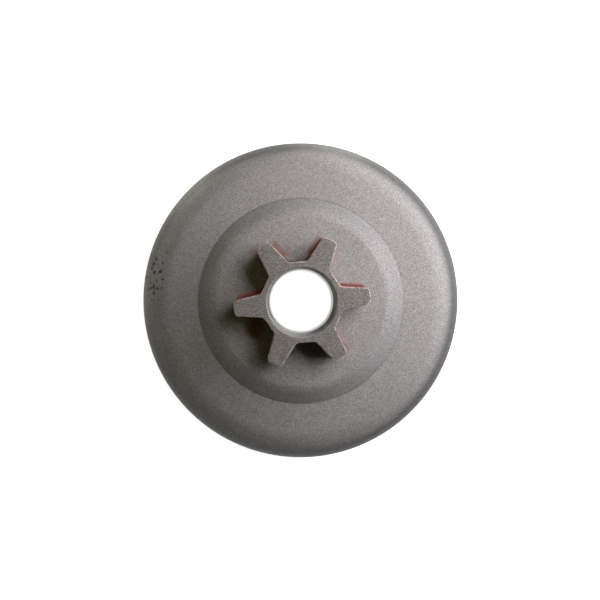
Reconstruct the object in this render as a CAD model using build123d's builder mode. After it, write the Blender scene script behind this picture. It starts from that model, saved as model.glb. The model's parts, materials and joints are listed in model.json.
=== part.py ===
"""Chainsaw clutch drum with a spur sprocket brazed on its boss.

The origin is the middle of the drum's open rim. +Z runs along the axis, from the rim to the sprocket,
and one tooth points along +X. All sizes are in millimetres and all angles in degrees.
"""

import os
from math import radians, sqrt, tan

from build123d import *

# Spur sprocket
tooth_count = 6
bore_diameter = 15.0  # seat of the needle bearing
root_wall = 1.3  # metal between the bore and the floor of a tooth gap
tooth_depth = 6.1  # from the floor of a gap to the tooth tip
tooth_width = 5.12  # across a tooth, level with the floor of the gaps
flank_angle = 8.5  # between a flank and the tooth's centre line
tooth_length = 13.0  # along the axis, from the boss to the free end
root_corner_radius = 0.8
tip_corner_radius = 0.9
tooth_edge_break = 0.25
bore_chamfer = 0.2
spigot_step = 0.3  # the turned spigot stands this far outside the floor of the gaps
spigot_projection = 1.5  # past the inner side of the boss
spigot_chamfer = 0.3

# Clutch drum, drawn from sheet steel
drum_diameter = 75.0
drum_height = 17.0  # from the open rim to the flat outer face
sheet_thickness = 2.0
corner_radius = 6.9  # outer bend between the wall and the face
boss_height = 3.25  # above the flat face
boss_slope = 43.0  # of the boss's side, from the face
boss_margin = 4.35  # flat boss top that shows outside the tooth tips
shoulder_radius = 2.9  # outer bend at the top of the boss
rim_edge_break = 0.3

# Copper braze
braze_gap = 0.03  # radial, between the spigot and the drum's hole
braze_leg = 0.5  # of a fillet, along each of the two faces that it joins

# Radii and levels of the sprocket and the drum
bore_radius = bore_diameter / 2
root_radius = bore_radius + root_wall
tip_radius = root_radius + tooth_depth
spigot_radius = root_radius + spigot_step
drum_radius = drum_diameter / 2
boss_top = drum_height + boss_height
boss_underside = boss_top - sheet_thickness
spigot_end = boss_underside - spigot_projection
sprocket_top = boss_top + tooth_length

# Outer line of the drum's section, before its bends
boss_edge_radius = tip_radius + boss_margin + shoulder_radius * tan(radians(boss_slope / 2))
boss_foot_radius = boss_edge_radius + boss_height / tan(radians(boss_slope))
face_width = drum_radius - boss_foot_radius
outer_bend = min(corner_radius, 0.95 * face_width)
turned_corner = (outer_bend - sheet_thickness) * (2 - sqrt(2))  # keeps the sheet's thickness in the bend

# A tooth is a tapered bar from the axis outwards, cut to length by the round of the blank
taper = tan(radians(flank_angle))
bar_width = tooth_width + 2 * root_radius * taper
tip_half_width = tooth_width / 2 - tooth_depth * taper
bar_length = tip_radius + tip_half_width

os.makedirs("parts", exist_ok=True)

# Clutch drum: the outside is turned about the axis, hollowed to the sheet's thickness, then bent round
with BuildPart() as clutch_drum:
    with BuildSketch(Plane.XZ):
        with BuildLine():
            Polyline(
                (drum_radius, 0),
                (drum_radius, drum_height),
                (boss_foot_radius, drum_height),
                (boss_edge_radius, boss_top),
                (0, boss_top),
                (0, 0),
                close=True,
            )
        make_face()
    revolve(axis=Axis.Z)
    open_side = clutch_drum.faces().sort_by(Axis.Z)[0]
    offset(amount=-sheet_thickness, openings=open_side, kind=Kind.INTERSECTION)
    rim_level, inner_level, face_level, *_, boss_level = (
        clutch_drum.edges().filter_by(GeomType.CIRCLE).group_by(Axis.Z)
    )
    chamfer(inner_level.sort_by(SortBy.RADIUS)[-1], turned_corner)
    fillet(face_level.sort_by(SortBy.RADIUS)[-1], outer_bend)
    fillet(boss_level, shoulder_radius)
    with Locations((0, 0, boss_top)):
        Hole(spigot_radius + braze_gap)
    rim = clutch_drum.faces().sort_by(Axis.Z)[0]
    chamfer(rim.edges(), rim_edge_break)

clutch_drum.part.label = "clutch_drum"
export_step(clutch_drum.part, "parts/clutch_drum.step")

# Outline shared by the teeth and the braze round their foot
with BuildSketch() as tooth_outline:
    RegularPolygon(root_radius, tooth_count, major_radius=False)
    with PolarLocations(0, tooth_count):
        Trapezoid(bar_width, bar_length, 90 - flank_angle, rotation=-90, align=(Align.CENTER, Align.MIN))
    Circle(tip_radius, mode=Mode.INTERSECT)
    corners = tooth_outline.vertices().group_by(SortBy.DISTANCE, tol_digits=3)
    fillet(corners[0], root_corner_radius)
    corners = tooth_outline.vertices().group_by(SortBy.DISTANCE, tol_digits=3)
    fillet(corners[-1], min(tip_corner_radius, 0.8 * tip_half_width))

# Spur sprocket: the teeth stand on the boss, and the spigot goes through the drum
with BuildPart() as spur_sprocket:
    with BuildSketch(Plane.XY.offset(boss_top)):
        add(tooth_outline.sketch)
    extrude(amount=tooth_length)
    with BuildSketch(Plane.XY.offset(spigot_end)):
        Circle(spigot_radius)
    extrude(amount=boss_top - spigot_end)
    with Locations((0, 0, sprocket_top)):
        Hole(bore_radius)
    ends = spur_sprocket.faces().filter_by(Plane.XY).sort_by(Axis.Z)
    bore_mouths = ends[0].inner_wires()[0].edges() + ends[-1].inner_wires()[0].edges()
    chamfer(bore_mouths, bore_chamfer)
    ends = spur_sprocket.faces().filter_by(Plane.XY).sort_by(Axis.Z)
    chamfer(ends[0].outer_wire().edges(), spigot_chamfer)
    chamfer(ends[-1].outer_wire().edges(), tooth_edge_break)

spur_sprocket.part.label = "spur_sprocket"
export_step(spur_sprocket.part, "parts/spur_sprocket.step")

# Copper braze: a fillet round the foot of the teeth, cut from a block by the drum and the sprocket
with BuildPart() as braze_fillet:
    with BuildSketch(Plane.XY.offset(boss_top)) as boss_disc:
        Circle(tip_radius + boss_margin)
    extrude(amount=-sheet_thickness)
    with BuildSketch(Plane.XY.offset(boss_top)) as tooth_foot:
        add(tooth_outline.sketch)
    extrude(amount=tooth_length)
    seat = braze_fillet.faces().filter_by(Plane.XY).sort_by(Axis.Z)[1]
    chamfer(seat.inner_wires()[0].edges(), min(braze_leg, 0.9 * root_corner_radius))
    extrude(boss_disc.sketch, amount=-sheet_thickness, mode=Mode.SUBTRACT)
    extrude(tooth_foot.sketch, amount=tooth_length, mode=Mode.SUBTRACT)

braze_fillet.part.label = "braze_fillet"
export_step(braze_fillet.part, "parts/braze_fillet.step")
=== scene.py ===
"""Finish, light and camera for a chainsaw clutch drum with a brazed spur sprocket.

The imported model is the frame. Three modelled pieces stand for its nodes: the pressed drum cup, the spur
teeth and the braze bead. Lengths are in metres and angles in degrees unless a name says otherwise.
"""

import json
import math

import bmesh
import bpy
from mathutils import Matrix, Vector


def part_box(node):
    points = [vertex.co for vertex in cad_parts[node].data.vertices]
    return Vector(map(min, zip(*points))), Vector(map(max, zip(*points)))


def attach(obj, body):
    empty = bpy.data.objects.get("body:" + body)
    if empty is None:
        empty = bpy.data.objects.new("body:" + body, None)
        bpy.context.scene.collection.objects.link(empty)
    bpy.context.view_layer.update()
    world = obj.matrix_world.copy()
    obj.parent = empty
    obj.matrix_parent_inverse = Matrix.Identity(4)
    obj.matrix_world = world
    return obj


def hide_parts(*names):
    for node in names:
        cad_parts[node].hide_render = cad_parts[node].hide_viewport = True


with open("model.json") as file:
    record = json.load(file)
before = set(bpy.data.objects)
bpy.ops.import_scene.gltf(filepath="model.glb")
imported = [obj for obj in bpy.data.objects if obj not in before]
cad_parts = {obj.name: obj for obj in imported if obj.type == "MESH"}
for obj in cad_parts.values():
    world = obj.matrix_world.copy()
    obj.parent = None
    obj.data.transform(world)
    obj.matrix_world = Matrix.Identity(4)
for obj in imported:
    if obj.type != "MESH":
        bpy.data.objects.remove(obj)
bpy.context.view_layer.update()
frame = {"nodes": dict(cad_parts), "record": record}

mm = 0.001

# Sizes read from the frame
_, drum_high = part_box("clutch_drum")
teeth_low, teeth_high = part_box("spur_sprocket")
mounts = {mount["name"]: mount for mount in frame["record"]["mounts"]}
drum_radius = drum_high.x
boss_top = drum_high.z
tip_radius = teeth_high.x
teeth_top = teeth_high.z
spigot_end = teeth_low.z
bore_radius = mounts["bearing_bore"]["dims"]["r_mm"] * mm
friction_radius = mounts["clutch_face"]["dims"]["r_mm"] * mm

# Drum section, as in the part's source but for the small bend in the crease round the boss
sheet = drum_radius - friction_radius
boss_height = 3.25 * mm
boss_slope = 43
boss_margin = 4.35 * mm
corner_bend = 6.9 * mm
shoulder_bend = 2.9 * mm
crease_bend = 0.3 * mm
rim_break = 0.3 * mm
face_height = boss_top - boss_height
half_slope = math.tan(math.radians(boss_slope / 2))
boss_edge_radius = tip_radius + boss_margin + shoulder_bend * half_slope
boss_foot_radius = boss_edge_radius + boss_height / math.tan(math.radians(boss_slope))

# Tooth outline, as in the part's source but for the wider chamfer of the bore
tooth_count = 6
root_wall = 1.3 * mm
root_radius = bore_radius + root_wall
tooth_width = 5.12 * mm
flank_angle = 8.5
root_bend = 0.8 * mm
tip_bend = 0.9 * mm
tooth_break = 0.25 * mm
bore_chamfer = 0.3 * mm
spigot_step = 0.3 * mm
spigot_radius = root_radius + spigot_step
spigot_chamfer = 0.3 * mm

# Neck of the spigot, which reaches up into the teeth so that the two join as one solid
neck_radius = root_radius - spigot_step
neck_reach = 2.0 * mm

# Smoothness of the round forms
around = 256
bore_around = 128
floor_around = 96
corner_segments = 16
shoulder_segments = 10
crease_segments = 3
tooth_segments = 6
break_segments = 3
spigot_segments = 2
sharp_angle = 40
bead_sharp_angle = 60

# Finish: grain sizes and colours
drum_grain = 0.17 * mm
tooth_grain = 0.17 * mm
sheet_dark = (0.365, 0.34, 0.342, 1)
sheet_light = (0.43, 0.40, 0.403, 1)
# Painted shade: the colour that darkens the drum's steep outer wall
wall_painted_shade = (0.35, 0.375, 0.37, 1)
friction_steel = (0.4, 0.385, 0.375, 1)
speck_dirt = (0.05, 0.049, 0.044, 1)
tooth_dark = (0.272, 0.247, 0.237, 1)
tooth_light = (0.332, 0.302, 0.291, 1)
worn_bright = (0.74, 0.62, 0.57, 1)
bore_steel = (0.54, 0.525, 0.51, 1)
braze_dark = (0.27, 0.13, 0.105, 1)
braze_light = (0.4, 0.21, 0.175, 1)
thin_braze = (0.2, 0.17, 0.15, 1)
copper = (0.34, 0.105, 0.085, 1)
bright_copper = (0.52, 0.19, 0.15, 1)
brown = (0.3, 0.15, 0.085, 1)
dark_flank_wash = (0.16, 0.08, 0.055, 1)
dark_red = (0.25, 0.085, 0.05, 1)
pink = (0.48, 0.3, 0.27, 1)

# Copper that ran out over the boss, in millimetres: from, to, reach, strength and colour
copper_streaks = (
    ((9.7, 2.6), (13.7, 2.0), 1.05, 0.95, copper),
    ((-9.7, 2.7), (-13.8, 2.1), 1.2, 0.95, bright_copper),
    ((-11.4, -5.4), (-11.0, -5.0), 3.0, 0.85, dark_red),
    ((-4.6, 13.5), (-3.0, 11.1), 0.95, 0.6, brown),
    ((-2.0, 12.6), (-2.2, 11.0), 0.8, 0.4, brown),
    ((-9.4, 12.4), (-8.8, 11.6), 2.0, 0.4, brown),
    ((5.3, 13.7), (3.3, 11.2), 1.2, 0.7, brown),
    ((8.9, 11.2), (7.9, 8.2), 1.4, 0.4, pink),
    ((9.3, -12.2), (8.9, -11.2), 0.9, 0.35, dark_red),
    ((9.0, -10.8), (8.0, -8.4), 1.8, 0.3, pink),
    ((1.6, 24.6), (2.8, 24.4), 3.2, 0.25, pink),
)

# Dark specks on the drum's corner, in millimetres
speck_path = ((-32.7, 13.2), (-34.6, 5.4))
speck_reach = 5.0

# Where one finish gives way to another and the painted shade on the outer wall begins, the painted shadow
# in the crease, and the spacing of the lathe's rings
wall_start = face_height - 0.5 * mm
wall_full = face_height - 2.5 * mm
crease_outer = 0.3 * mm
crease_inner = 0.1 * mm
friction_top = face_height - corner_bend
friction_fade = 0.3 * mm
friction_outer = friction_radius + 0.4 * mm
friction_inner = friction_radius + 0.2 * mm
friction_ring = 0.3 * mm
bore_finish_end = bore_radius + 0.35 * mm
tooth_finish_start = bore_radius + 0.6 * mm
bore_ring = 0.25 * mm

# Floor: flat, then a bend up to the sides
floor_radius = 1.2
curve_radius = 1.0
curve_end = 75
curve_steps = 12
floor_paint = (0.8, 0.8, 0.8, 1)
floor_white = 0.98
# Painted shade: the floor's brightness to the camera where it lies under the drum
floor_in_shade = 0.42

# Painted pool of light on the floor under the bore, by its middle in the picture and the edge that it fades
# over
pool_right = 0.137 * mm
pool_up = -0.26 * mm
pool_edge = bore_radius + 0.07 * mm
pool_end = bore_radius + 0.12 * mm

# Camera: over the sprocket, a little towards the upper left of the picture
picture_turn = 5.5
camera_height = 0.22
camera_lean_left = 0.75
camera_lean_up = 0.85
picture_width = 600
focus_pixels = 1017
aim_height = face_height - 0.25 * corner_bend
aim_left = 0.233 * mm
aim_up = 0.193 * mm

# Light from the room itself
room_colour = (1.0, 0.96, 0.78, 1)
room_strength = 0.005


def start_piece(name, add_primitive, **settings):
    """Add a primitive with nothing else selected, and put its place into its mesh."""
    bpy.ops.object.select_all(action="DESELECT")
    add_primitive(**settings)
    piece = bpy.context.active_object
    piece.name = name
    piece.data.name = name
    bpy.ops.object.transform_apply(location=True, rotation=True, scale=True)
    return piece


def pick(piece, kind, test):
    """In edit mode, select only the VERT, EDGE or FACE elements of a piece that pass a test."""
    bpy.ops.mesh.select_mode(type=kind)
    bpy.ops.mesh.select_all(action="DESELECT")
    mesh = bmesh.from_edit_mesh(piece.data)
    for element in {"VERT": mesh.verts, "EDGE": mesh.edges, "FACE": mesh.faces}[kind]:
        if test(element):
            element.select_set(True)
    mesh.select_flush_mode()
    bmesh.update_edit_mesh(piece.data)


def near(value, target, slack=0.02 * mm):
    return abs(value - target) < slack


def on_ring(edge, radius, height):
    """True for an edge whose two ends lie on a circle about the axis."""
    return all(near(v.co.xy.length, radius) and near(v.co.z, height) for v in edge.verts)


def apply_modifier(piece, kind, **settings):
    modifier = piece.modifiers.new(kind.lower(), kind)
    for name, value in settings.items():
        setattr(modifier, name, value)
    bpy.context.view_layer.objects.active = piece
    bpy.ops.object.modifier_apply(modifier=modifier.name)


def combine(piece, tool, operation):
    """Join a second solid to a piece, or cut it away, and remove the tool."""
    apply_modifier(piece, "BOOLEAN", operation=operation, solver="EXACT", object=tool)
    bpy.data.objects.remove(tool)


def smooth(piece, angle):
    """Smooth the bends, and keep the flats flat by weighing normals by face area."""
    bpy.ops.object.select_all(action="DESELECT")
    piece.select_set(True)
    bpy.context.view_layer.objects.active = piece
    bpy.ops.object.shade_smooth_by_angle(angle=math.radians(angle))
    apply_modifier(piece, "WEIGHTED_NORMAL", keep_sharp=True)


def press_drum_cup():
    """The drum: a tube drawn up into a boss, bent round at its edges and given the sheet's thickness."""
    cup = start_piece(
        "drum_cup",
        bpy.ops.mesh.primitive_cylinder_add,
        vertices=around,
        radius=drum_radius,
        depth=face_height,
        location=(0, 0, face_height / 2),
    )
    bpy.ops.object.mode_set(mode="EDIT")
    pick(cup, "FACE", lambda face: face.normal.z < -0.5)
    bpy.ops.mesh.delete(type="FACE")
    pick(cup, "FACE", lambda face: face.normal.z > 0.5)
    bpy.ops.mesh.inset(thickness=drum_radius - boss_foot_radius)
    bpy.ops.mesh.extrude_region_move(TRANSFORM_OT_translate={"value": (0, 0, boss_height)})
    shrink = boss_edge_radius / boss_foot_radius
    bpy.ops.transform.resize(value=(shrink, shrink, 1), center_override=(0, 0, boss_top))
    bpy.ops.mesh.inset(thickness=boss_edge_radius - spigot_radius)
    bpy.ops.mesh.delete(type="FACE")
    bends = (
        (drum_radius, face_height, corner_bend, corner_segments),
        (boss_foot_radius, face_height, crease_bend * half_slope, crease_segments),
        (boss_edge_radius, boss_top, shoulder_bend * half_slope, shoulder_segments),
    )
    for radius, height, reach, segments in bends:
        pick(cup, "EDGE", lambda edge: on_ring(edge, radius, height))
        bpy.ops.mesh.bevel(offset=reach, segments=segments, affect="EDGES")
    bpy.ops.object.mode_set(mode="OBJECT")
    apply_modifier(cup, "SOLIDIFY", thickness=sheet, offset=-1, use_even_offset=True, use_rim=True)
    bpy.ops.object.mode_set(mode="EDIT")
    for radius in (drum_radius, friction_radius):
        pick(cup, "EDGE", lambda edge: on_ring(edge, radius, 0))
        bpy.ops.mesh.bevel(offset=rim_break, segments=break_segments, affect="EDGES")
    bpy.ops.object.mode_set(mode="OBJECT")
    smooth(cup, sharp_angle)
    return cup


def tooth_side(co):
    """Angle of a point from the centre line of its own tooth."""
    pitch = 360 / tooth_count
    turn = math.degrees(math.atan2(co.y, co.x))
    return abs((turn + pitch / 2) % pitch - pitch / 2)


def upright(edge):
    first, second = edge.verts
    return near((first.co.xy - second.co.xy).length, 0) and not near(first.co.z, second.co.z)


def cut_spur_teeth():
    """The sprocket: a tooth drawn flat and spun about the axis, extruded, and given its spigot and bore."""
    taper = math.tan(math.radians(flank_angle))
    gap_cos = math.cos(math.pi / tooth_count)
    gap_sin = math.sin(math.pi / tooth_count)
    axis_half_width = tooth_width / 2 + root_radius * taper
    root_x = (root_radius - gap_sin * axis_half_width) / (gap_cos - taper * gap_sin)
    root_y = axis_half_width - root_x * taper
    tip_y = axis_half_width - tip_radius * taper
    hub_corner = root_radius / gap_cos
    teeth = start_piece(
        "spur_teeth", bpy.ops.mesh.primitive_plane_add, size=1, location=(0, 0, boss_top)
    )
    floor_point = (0, 0, boss_top)
    bpy.ops.object.mode_set(mode="EDIT")
    bpy.ops.mesh.select_all(action="SELECT")
    bpy.ops.transform.resize(value=(tip_radius - root_x, 2 * root_y, 1), center_override=floor_point)
    bpy.ops.transform.translate(value=((tip_radius + root_x) / 2, 0, 0))
    pick(teeth, "EDGE", lambda edge: all(near(v.co.x, tip_radius) for v in edge.verts))
    bpy.ops.transform.resize(value=(1, tip_y / root_y, 1), center_override=floor_point)
    bpy.ops.mesh.subdivide(number_cuts=3)
    flat = bmesh.from_edit_mesh(teeth.data)
    for vert in flat.verts:
        if near(vert.co.x, tip_radius):
            vert.co.x = math.sqrt(tip_radius**2 - vert.co.y**2)
    bmesh.update_edit_mesh(teeth.data)
    bpy.ops.mesh.select_all(action="SELECT")
    turns = tooth_count - 1
    bpy.ops.mesh.spin(
        steps=turns,
        dupli=True,
        angle=2 * math.pi * turns / tooth_count,
        center=floor_point,
        axis=(0, 0, 1),
    )
    bpy.ops.mesh.select_all(action="DESELECT")
    bpy.ops.mesh.primitive_circle_add(
        vertices=tooth_count,
        radius=hub_corner,
        fill_type="NGON",
        location=floor_point,
        rotation=(0, 0, math.pi / tooth_count),
    )
    bpy.ops.mesh.bevel(offset=math.hypot(hub_corner - root_x, root_y), segments=1, affect="VERTICES")
    bpy.ops.mesh.select_all(action="SELECT")
    bpy.ops.mesh.remove_doubles(threshold=0.005 * mm)
    bpy.ops.mesh.dissolve_faces()
    bpy.ops.mesh.extrude_region_move(TRANSFORM_OT_translate={"value": (0, 0, teeth_top - boss_top)})
    bpy.ops.mesh.select_all(action="SELECT")
    bpy.ops.mesh.normals_make_consistent(inside=False)
    root_turn = math.radians(90 - 180 / tooth_count - flank_angle)
    tip_angle = math.degrees(math.asin(tip_y / tip_radius))
    tip_turn = math.radians(90 - flank_angle - tip_angle)
    pick(teeth, "EDGE", lambda edge: upright(edge) and edge.verts[0].co.xy.length < tip_radius - 2 * mm)
    root_reach = root_bend * math.tan(root_turn / 2)
    bpy.ops.mesh.bevel(offset=root_reach, segments=tooth_segments, affect="EDGES")
    pick(teeth, "EDGE", lambda edge: upright(edge) and near(tooth_side(edge.verts[0].co), tip_angle, 0.5))
    tip_reach = tip_bend * math.tan(tip_turn / 2)
    bpy.ops.mesh.bevel(offset=tip_reach, segments=tooth_segments, affect="EDGES")
    pick(teeth, "EDGE", lambda edge: all(near(v.co.z, teeth_top) for v in edge.verts))
    bpy.ops.mesh.bevel(offset=tooth_break, segments=break_segments, affect="EDGES")
    bpy.ops.object.mode_set(mode="OBJECT")
    combine(teeth, turn_spigot(), "UNION")
    combine(teeth, bore_cutter(), "DIFFERENCE")
    smooth(teeth, sharp_angle)
    return teeth


def turn_spigot():
    """The round end that goes through the drum, with a neck that reaches up into the teeth."""
    spigot = start_piece(
        "spigot",
        bpy.ops.mesh.primitive_cylinder_add,
        vertices=bore_around,
        radius=spigot_radius,
        depth=boss_top - spigot_end,
        location=(0, 0, (boss_top + spigot_end) / 2),
    )
    bpy.ops.object.mode_set(mode="EDIT")
    pick(spigot, "EDGE", lambda edge: on_ring(edge, spigot_radius, spigot_end))
    bpy.ops.mesh.bevel(offset=spigot_chamfer, segments=spigot_segments, affect="EDGES")
    pick(spigot, "FACE", lambda face: face.normal.z > 0.5)
    bpy.ops.mesh.inset(thickness=spigot_radius - neck_radius)
    bpy.ops.mesh.extrude_region_move(TRANSFORM_OT_translate={"value": (0, 0, neck_reach)})
    bpy.ops.object.mode_set(mode="OBJECT")
    return spigot


def bore_cutter():
    """A rod of the bore's size, flared where it leaves the two ends."""
    cutter = start_piece(
        "bore_cutter",
        bpy.ops.mesh.primitive_cylinder_add,
        vertices=bore_around,
        radius=bore_radius,
        depth=teeth_top - spigot_end - 2 * bore_chamfer,
        location=(0, 0, (teeth_top + spigot_end) / 2),
    )
    flare = 1 + 2 * bore_chamfer / bore_radius
    bpy.ops.object.mode_set(mode="EDIT")
    for up in (1, -1):
        pick(cutter, "FACE", lambda face: face.normal.z * up > 0.9)
        reach = (0, 0, 2 * up * bore_chamfer)
        bpy.ops.mesh.extrude_region_move(TRANSFORM_OT_translate={"value": reach})
        bpy.ops.transform.resize(value=(flare, flare, 1), center_override=(0, 0, 0))
    bpy.ops.object.mode_set(mode="OBJECT")
    return cutter


def lay_braze_bead():
    """The braze: a copy of its node, closed up and smoothed."""
    bead = bpy.data.objects.new("braze_bead", frame["nodes"]["braze_fillet"].data.copy())
    bpy.context.scene.collection.objects.link(bead)
    bpy.ops.object.select_all(action="DESELECT")
    bead.select_set(True)
    bpy.context.view_layer.objects.active = bead
    bpy.ops.object.mode_set(mode="EDIT")
    bpy.ops.mesh.select_all(action="SELECT")
    bpy.ops.mesh.remove_doubles(threshold=0.001 * mm)
    bpy.ops.object.mode_set(mode="OBJECT")
    smooth(bead, bead_sharp_angle)
    return bead


def put(tree, kind, inputs=None, **settings):
    """Add a shader node, set its options, and fill its inputs with values or links."""
    node = tree.nodes.new(kind)
    for name, value in settings.items():
        setattr(node, name, value)
    for name, value in (inputs or {}).items():
        if isinstance(value, bpy.types.NodeSocket):
            tree.links.new(value, node.inputs[name])
        else:
            node.inputs[name].default_value = value
    return node


def calc(tree, operation, first, second=0.0):
    return put(tree, "ShaderNodeMath", {0: first, 1: second}, operation=operation).outputs[0]


def both(tree, first, *others):
    """Product of masks: full only where each of them is."""
    for other in others:
        first = calc(tree, "MULTIPLY", first, other)
    return first


def fade(tree, value, low, high):
    """0 at low, 1 at high, smooth between; low may be above high."""
    limits = {"Value": value, "From Min": low, "From Max": high}
    return put(tree, "ShaderNodeMapRange", limits, interpolation_type="SMOOTHSTEP").outputs[0]


def spread(tree, value, low, high):
    """Stretch a value of 0 to 1 over another range."""
    return put(tree, "ShaderNodeMapRange", {"Value": value, "To Min": low, "To Max": high}).outputs[0]


def noise(tree, place, size, detail=2.0, roughness=0.5):
    """Noise whose lumps are about the given size across."""
    inputs = {"Vector": place, "Scale": 1 / size, "Detail": detail, "Roughness": roughness}
    return put(tree, "ShaderNodeTexNoise", inputs).outputs["Fac"]


def pits(tree, place, size):
    """Cells of about the given size: the distance from a cell's middle, and a chance value per cell."""
    cells = put(tree, "ShaderNodeTexVoronoi", {"Vector": place, "Scale": 1 / size})
    chance = put(tree, "ShaderNodeSeparateColor", {"Color": cells.outputs["Color"]}).outputs["Red"]
    return cells.outputs["Distance"], chance


def tint(tree, factor, under, over, blend="MIX"):
    mix = put(tree, "ShaderNodeMix", {0: factor, 6: under, 7: over}, data_type="RGBA", blend_type=blend)
    return mix.outputs[2]


def shade(tree, colour, amount):
    """Multiply a colour by a plain value."""
    grey = put(tree, "ShaderNodeCombineColor", {"Red": amount, "Green": amount, "Blue": amount})
    return tint(tree, 1.0, colour, grey.outputs[0], "MULTIPLY")


def length(tree, vector):
    return put(tree, "ShaderNodeVectorMath", {0: vector}, operation="LENGTH").outputs["Value"]


def streak(tree, place, start, end, height, reach):
    """A soft stripe at one height from a point to another; points and reach are in millimetres."""
    start = Vector(start) * mm
    run = Vector(end) * mm - start
    middle = start + run / 2
    along = {
        "Vector": place,
        "Location": (middle.x, middle.y, height),
        "Rotation": (0, 0, math.atan2(run.y, run.x)),
    }
    local = put(tree, "ShaderNodeMapping", along, vector_type="TEXTURE").outputs[0]
    x, y, z = put(tree, "ShaderNodeSeparateXYZ", {0: local}).outputs
    past_end = calc(tree, "SUBTRACT", calc(tree, "ABSOLUTE", x), run.length / 2)
    past_end = calc(tree, "MAXIMUM", past_end, 0.0)
    gap = put(tree, "ShaderNodeCombineXYZ", {"X": past_end, "Y": y, "Z": z}).outputs[0]
    return fade(tree, length(tree, gap), reach * mm, 0.25 * reach * mm)


class Finish:
    """A material with its shader, and the places and directions that its patterns use."""

    def __init__(self, name):
        self.material = bpy.data.materials.new(name)
        self.material.use_nodes = True
        self.tree = self.material.node_tree
        self.shader = self.tree.nodes["Principled BSDF"]
        coords = put(self.tree, "ShaderNodeTexCoord")
        self.place = coords.outputs["Object"]
        split = put(self.tree, "ShaderNodeSeparateXYZ", {0: self.place})
        x, y, self.z = split.outputs
        flat = put(self.tree, "ShaderNodeCombineXYZ", {"X": x, "Y": y})
        self.radius = length(self.tree, flat.outputs[0])
        facing = put(self.tree, "ShaderNodeSeparateXYZ", {0: coords.outputs["Normal"]})
        self.facing_up = facing.outputs["Z"]

    def set(self, name, value):
        """Set an input of the shader to a value, or link it."""
        if isinstance(value, bpy.types.NodeSocket):
            self.tree.links.new(value, self.shader.inputs[name])
        else:
            self.shader.inputs[name].default_value = value

    def turning(self, size):
        """Fine rings left by a lathe: noise that changes only along the axis."""
        along = put(self.tree, "ShaderNodeCombineXYZ", {"Z": self.z}).outputs[0]
        return noise(self.tree, along, size, 3)

    def relief(self, height, depth, strength):
        inputs = {"Strength": strength, "Distance": depth, "Height": height}
        self.set("Normal", put(self.tree, "ShaderNodeBump", inputs).outputs[0])


def blasted_sheet_steel():
    """Dull grey pressed steel with a fine pitted grain, stained with copper near the braze, with painted
    shade on its outer wall and in the crease round the boss.
    """
    finish = Finish("blasted_sheet_steel")
    tree, place = finish.tree, finish.place
    pit, chance = pits(tree, place, drum_grain)
    fine = noise(tree, place, 1.2 * drum_grain, 2, 0.6)
    coarse = noise(tree, place, 1.5 * mm, 2)
    cloud = noise(tree, place, 9 * mm, 3)
    colour = tint(tree, cloud, sheet_dark, sheet_light)
    colour = shade(tree, colour, spread(tree, chance, 0.74, 1.26))
    colour = shade(tree, colour, spread(tree, fade(tree, fine, 0.3, 0.7), 0.74, 1.26))
    colour = shade(tree, colour, spread(tree, coarse, 0.93, 1.07))
    # The steep outer wall: darker by painted shade, and more metallic
    wall = fade(tree, finish.z, wall_start, wall_full)
    colour = tint(tree, wall, colour, wall_painted_shade, "MULTIPLY")
    # Painted shade: a thin dark line in the crease round the foot of the boss
    crease_gap = calc(tree, "ABSOLUTE", calc(tree, "SUBTRACT", finish.radius, boss_foot_radius))
    on_face = fade(tree, finish.z, face_height - 1 * mm, face_height - 0.5 * mm)
    crease = both(tree, fade(tree, crease_gap, crease_outer, crease_inner), on_face)
    colour = shade(tree, colour, spread(tree, crease, 1.0, 0.84))
    patchy = fade(tree, noise(tree, place, 1.6 * mm, 3), 0.1, 0.45)
    for start, end, reach, strength, stain_colour in copper_streaks:
        stain = streak(tree, place, start, end, boss_top, reach)
        colour = tint(tree, both(tree, stain, patchy, strength), colour, stain_colour)
    speckled = streak(tree, place, *speck_path, face_height - 2 * mm, speck_reach)
    dirt = calc(tree, "ADD", noise(tree, place, 0.95 * mm, 2), both(tree, speckled, 0.2))
    colour = tint(tree, fade(tree, dirt, 0.75, 0.83), colour, speck_dirt)
    inside = fade(tree, finish.radius, friction_outer, friction_inner)
    below_bend = fade(tree, finish.z, friction_top, friction_top - friction_fade)
    friction_wall = both(tree, inside, below_bend)
    turned_steel = shade(tree, friction_steel, spread(tree, finish.turning(friction_ring), 0.8, 1.2))
    colour = tint(tree, friction_wall, colour, turned_steel)
    finish.set("Base Color", colour)
    finish.set("Metallic", spread(tree, wall, 0.25, 0.8))
    finish.set("Specular IOR Level", 0.1)
    rough = spread(tree, coarse, 0.55, 0.75)
    finish.set("Roughness", calc(tree, "SUBTRACT", rough, both(tree, friction_wall, 0.2)))
    finish.relief(calc(tree, "SUBTRACT", fine, both(tree, pit, 0.6)), 0.03 * mm, 0.6)
    return finish.material


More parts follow.
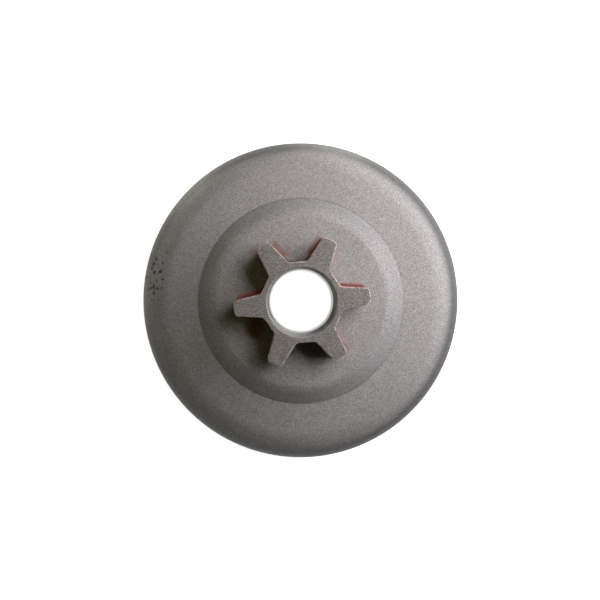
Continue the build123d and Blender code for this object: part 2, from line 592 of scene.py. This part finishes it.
def hardened_tooth_steel():
    """Darker and coarser than the drum, with a dark brown wash over the flanks, heavier towards their foot,
    and bright worn edges.
    """
    finish = Finish("hardened_tooth_steel")
    tree, place = finish.tree, finish.place
    pit, chance = pits(tree, place, tooth_grain)
    fine = noise(tree, place, 1.2 * tooth_grain, 2, 0.6)
    cloud = noise(tree, place, 4 * mm, 3)
    colour = tint(tree, cloud, tooth_dark, tooth_light)
    colour = shade(tree, colour, spread(tree, chance, 0.6, 1.4))
    colour = shade(tree, colour, spread(tree, fade(tree, fine, 0.3, 0.7), 0.7, 1.3))
    outside = fade(tree, finish.radius, bore_finish_end, tooth_finish_start)
    flank = both(tree, outside, fade(tree, finish.facing_up, 0.6, 0.3))
    # The flanks turn dark brown in patches, more towards their foot
    low = fade(tree, finish.z, teeth_top - 1.5 * mm, boss_top + 3 * mm)
    patchy = fade(tree, noise(tree, place, 2.5 * mm, 3), 0.25, 0.6)
    colour = tint(tree, both(tree, flank, low, patchy, 0.8), colour, dark_flank_wash)
    edge_band = fade(tree, finish.z, teeth_top - 1.6 * tooth_break, teeth_top - 1.1 * tooth_break)
    slope = both(tree, fade(tree, finish.facing_up, 0.985, 0.9), edge_band, outside)
    worn = fade(tree, noise(tree, place, 0.7 * mm, 2), 0.35, 0.6)
    colour = tint(tree, both(tree, slope, worn, 0.95), colour, worn_bright)
    turned = both(tree, calc(tree, "SUBTRACT", 1.0, outside), fade(tree, finish.facing_up, 1.0, 0.4))
    turned_steel = shade(tree, bore_steel, spread(tree, finish.turning(bore_ring), 0.85, 1.15))
    colour = tint(tree, turned, colour, turned_steel)
    finish.set("Base Color", colour)
    finish.set("Metallic", 0.25)
    finish.set("Specular IOR Level", 0.05)
    rough = spread(tree, cloud, 0.55, 0.75)
    finish.set("Roughness", calc(tree, "SUBTRACT", rough, both(tree, turned, 0.15)))
    finish.relief(calc(tree, "SUBTRACT", fine, pit), 0.05 * mm, 0.6)
    return finish.material


def copper_braze():
    """Dull oxidised copper that gives way to grey where it ran thin."""
    finish = Finish("copper_braze")
    tree, place = finish.tree, finish.place
    cloud = noise(tree, place, 1.5 * mm, 3)
    fine = noise(tree, place, 0.3 * mm, 2)
    thin = fade(tree, noise(tree, place, 4 * mm, 2), 0.62, 0.72)
    colour = tint(tree, cloud, braze_dark, braze_light)
    colour = tint(tree, thin, colour, thin_braze)
    for start, end, reach, strength, stain_colour in copper_streaks:
        ran_out = streak(tree, place, start, end, boss_top, 1.4 * reach)
        colour = tint(tree, both(tree, ran_out, strength), colour, stain_colour)
    colour = shade(tree, colour, spread(tree, fine, 0.75, 1.25))
    finish.set("Base Color", colour)
    finish.set("Metallic", 0.35)
    finish.set("Specular IOR Level", 0.2)
    finish.set("Roughness", spread(tree, cloud, 0.45, 0.7))
    finish.relief(cloud, 0.06 * mm, 0.5)
    return finish.material


def picture_direction(right, up, out):
    """A direction given by the picture's right, up and towards-the-viewer, in the frame's axes."""
    turn = Matrix.Rotation(math.radians(-picture_turn), 3, "Z")
    return turn @ Vector((right, up, out))


def pale_floor_finish():
    """White paper to the camera and in reflections, with painted shade under the drum but for a painted
    pool of light.
    """
    finish = Finish("pale_floor")
    tree, place = finish.tree, finish.place
    finish.set("Base Color", floor_paint)
    finish.set("Roughness", spread(tree, noise(tree, place, 2 * mm, 3), 0.85, 0.95))
    rays = put(tree, "ShaderNodeLightPath").outputs
    mirrored = calc(tree, "MAXIMUM", rays["Is Glossy Ray"], rays["Is Transmission Ray"])
    # Painted shade under the drum, but for a painted pool of light under the bore; reflections see no white
    # there
    under_drum = fade(tree, finish.radius, friction_radius, friction_radius - 1 * mm)
    pool_middle = picture_direction(pool_right, pool_up, 0)
    from_pool = put(tree, "ShaderNodeVectorMath", {0: place, 1: pool_middle}, operation="SUBTRACT")
    off_pool = fade(tree, length(tree, from_pool.outputs[0]), pool_edge, pool_end)
    shaded = both(tree, under_drum, off_pool)
    to_camera = both(tree, rays["Is Camera Ray"], spread(tree, shaded, floor_white, floor_in_shade))
    to_mirror = both(tree, mirrored, spread(tree, under_drum, floor_white, 0.0))
    finish.set("Emission Color", (1, 1, 1, 1))
    finish.set("Emission Strength", calc(tree, "ADD", to_camera, to_mirror))
    return finish.material


def lay_floor():
    """A wide round floor whose edge curves up, so that low views meet it too."""
    floor = start_piece(
        "floor",
        bpy.ops.mesh.primitive_circle_add,
        vertices=floor_around,
        radius=floor_radius,
        fill_type="NOTHING",
    )
    bpy.ops.object.mode_set(mode="EDIT")
    bpy.ops.mesh.select_all(action="SELECT")
    reach, height = floor_radius, 0.0
    for step in range(1, curve_steps + 1):
        turn = math.radians(curve_end * step / curve_steps)
        next_reach = floor_radius + curve_radius * math.sin(turn)
        next_height = curve_radius * (1 - math.cos(turn))
        rise = (0, 0, next_height - height)
        bpy.ops.mesh.extrude_edges_move(TRANSFORM_OT_translate={"value": rise})
        grow = next_reach / reach
        bpy.ops.transform.resize(value=(grow, grow, 1), center_override=(0, 0, 0))
        reach, height = next_reach, next_height
    pick(floor, "EDGE", lambda edge: on_ring(edge, floor_radius, 0))
    bpy.ops.mesh.edge_face_add()
    bpy.ops.mesh.select_all(action="SELECT")
    bpy.ops.mesh.normals_make_consistent(inside=True)
    bpy.ops.object.mode_set(mode="OBJECT")
    smooth(floor, sharp_angle)
    floor.data.materials.append(pale_floor_finish())


def place_camera():
    data = bpy.data.cameras.new("camera")
    data.sensor_width = 36
    data.lens = data.sensor_width * focus_pixels / picture_width
    data.clip_start = 0.01
    data.clip_end = 20
    camera = bpy.data.objects.new("camera", data)
    bpy.context.scene.collection.objects.link(camera)
    aim = picture_direction(-aim_left, aim_up, aim_height)
    lean_left = math.tan(math.radians(camera_lean_left))
    lean_up = math.tan(math.radians(camera_lean_up))
    reach = teeth_top + camera_height - aim.z
    camera.location = aim + reach * picture_direction(-lean_left, lean_up, 1)
    back = (camera.location - aim).normalized()
    right = (picture_direction(1, 0, 0) - picture_direction(1, 0, 0).dot(back) * back).normalized()
    up = back.cross(right)
    camera.rotation_euler = Matrix((right, up, back)).transposed().to_euler()
    bpy.context.scene.camera = camera


def add_soft_light(name, azimuth, height, distance, width, power, colour, spread=180, aim_shift=0.0):
    """A square soft light, placed by its bearing in the picture; a narrow one may aim past the part."""
    data = bpy.data.lights.new(name, "AREA")
    data.size = width
    data.energy = power
    data.color = colour
    data.spread = math.radians(spread)
    light = bpy.data.objects.new(name, data)
    light.visible_camera = False
    bpy.context.scene.collection.objects.link(light)
    flat = math.cos(math.radians(height))
    out = math.sin(math.radians(height))
    turn = math.radians(azimuth)
    away = picture_direction(flat * math.cos(turn), flat * math.sin(turn), out)
    face_middle = Vector((0, 0, face_height))
    light.location = face_middle + distance * away
    target = face_middle + aim_shift * picture_direction(math.cos(turn), math.sin(turn), 0)
    light.rotation_euler = (light.location - target).to_track_quat("Z", "Y").to_euler()


def light_scene():
    """A narrow key, soft lights on two sides, a thin beam down the bore and three low rim lights."""
    add_soft_light(
        "key",
        azimuth=33,
        height=57,
        distance=0.25,
        width=0.14,
        power=0.058,
        colour=(1, 0.985, 0.97),
        spread=46,
        aim_shift=77 * mm,
    )
    add_soft_light(
        "near", azimuth=24, height=26, distance=0.14, width=0.14, power=0.17, colour=(0.95, 0.975, 1)
    )
    add_soft_light(
        "bore",
        azimuth=66,
        height=60,
        distance=0.25,
        width=0.004,
        power=0.0003,
        colour=(1, 1, 1),
        spread=3,
        aim_shift=-10 * mm,
    )
    add_soft_light(
        "fill", azimuth=166, height=50, distance=0.3, width=0.3, power=0.032, colour=(0.95, 1, 0.25)
    )
    rim_lights = (
        ("rim_top", 76, 0.022, (1, 0.975, 0.885)),
        ("rim_left", 134, 0.0145, (1, 0.955, 0.76)),
        ("rim_low", 174, 0.0045, (1, 0.955, 0.66)),
    )
    for name, azimuth, power, colour in rim_lights:
        add_soft_light(name, azimuth, height=-10.5, distance=0.085, width=0.01, power=power, colour=colour)
    world = bpy.data.worlds.new("room")
    bpy.context.scene.world = world
    world.use_nodes = True
    background = world.node_tree.nodes["Background"]
    background.inputs["Color"].default_value = room_colour
    background.inputs["Strength"].default_value = room_strength


def dress(piece, material, node):
    """Give a finished piece its material and its body, and hide the node that it stands for."""
    piece.data.materials.clear()
    piece.data.materials.append(material)
    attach(piece, "root")
    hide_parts(node)


dress(press_drum_cup(), blasted_sheet_steel(), "clutch_drum")
dress(cut_spur_teeth(), hardened_tooth_steel(), "spur_sprocket")
dress(lay_braze_bead(), copper_braze(), "braze_fillet")
lay_floor()
place_camera()
light_scene()
bpy.context.scene.view_settings.view_transform = "Standard"
